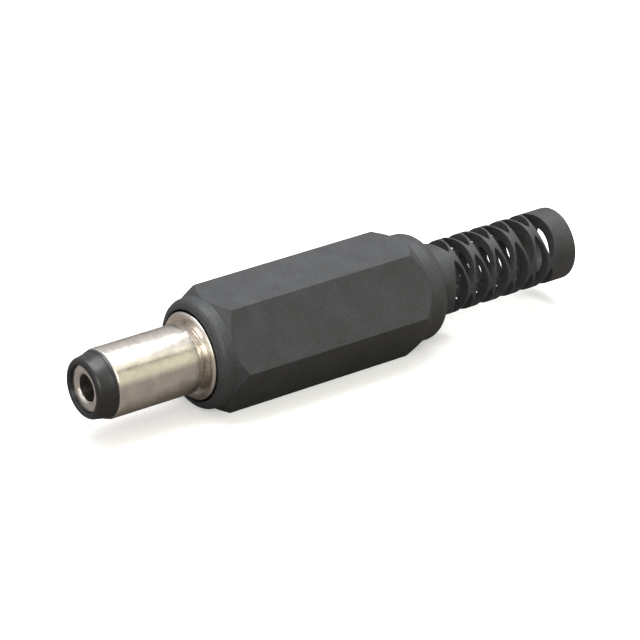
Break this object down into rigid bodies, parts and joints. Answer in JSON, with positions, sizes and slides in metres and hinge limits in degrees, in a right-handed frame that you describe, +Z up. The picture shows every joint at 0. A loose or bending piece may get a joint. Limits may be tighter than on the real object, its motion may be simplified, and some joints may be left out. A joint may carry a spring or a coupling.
{
  "type": "dc barrel plug",
  "caption": "Cable-mounted DC barrel plug with a metal barrel, an insulated nose with a pin bore, a screw-on hex handle and a slotted strain relief.",
  "frame": {"origin": "on the plug axis, in the front face of the flange that stops against the socket", "axes": "+X along the plug axis towards the cable, -X out of the nose, +Z up; the hex handle lies on one of its flats, so two flats face +Z and -Z"},
  "size_m": [0.0453, 0.0102, 0.0088],
  "materials": {
    "plated_brass": "turned brass, nickel plated, bright",
    "nose_plastic": "black moulded plastic, semi-gloss",
    "contact_metal": "turned brass, nickel plated",
    "terminal_metal": "stamped brass sheet, tin plated, satin",
    "insulator_plastic": "black moulded plastic",
    "handle_plastic": "black moulded plastic, fine matt grain"
  },
  "bodies": {
    "plug": {"sleeve": "plated_brass", "nose_insulator": "nose_plastic", "centre_contact": "contact_metal", "sleeve_terminal": "terminal_metal", "rear_insulator": "insulator_plastic", "tip_terminal": "terminal_metal"},
    "cover": {"handle_cover": "handle_plastic"}
  },
  "joints": [
    {"name": "cover_unscrew_slide", "type": "slide", "parent": "plug", "child": "cover", "axis": [1, 0, 0], "range_m": [0, 0.024]}
  ]
}
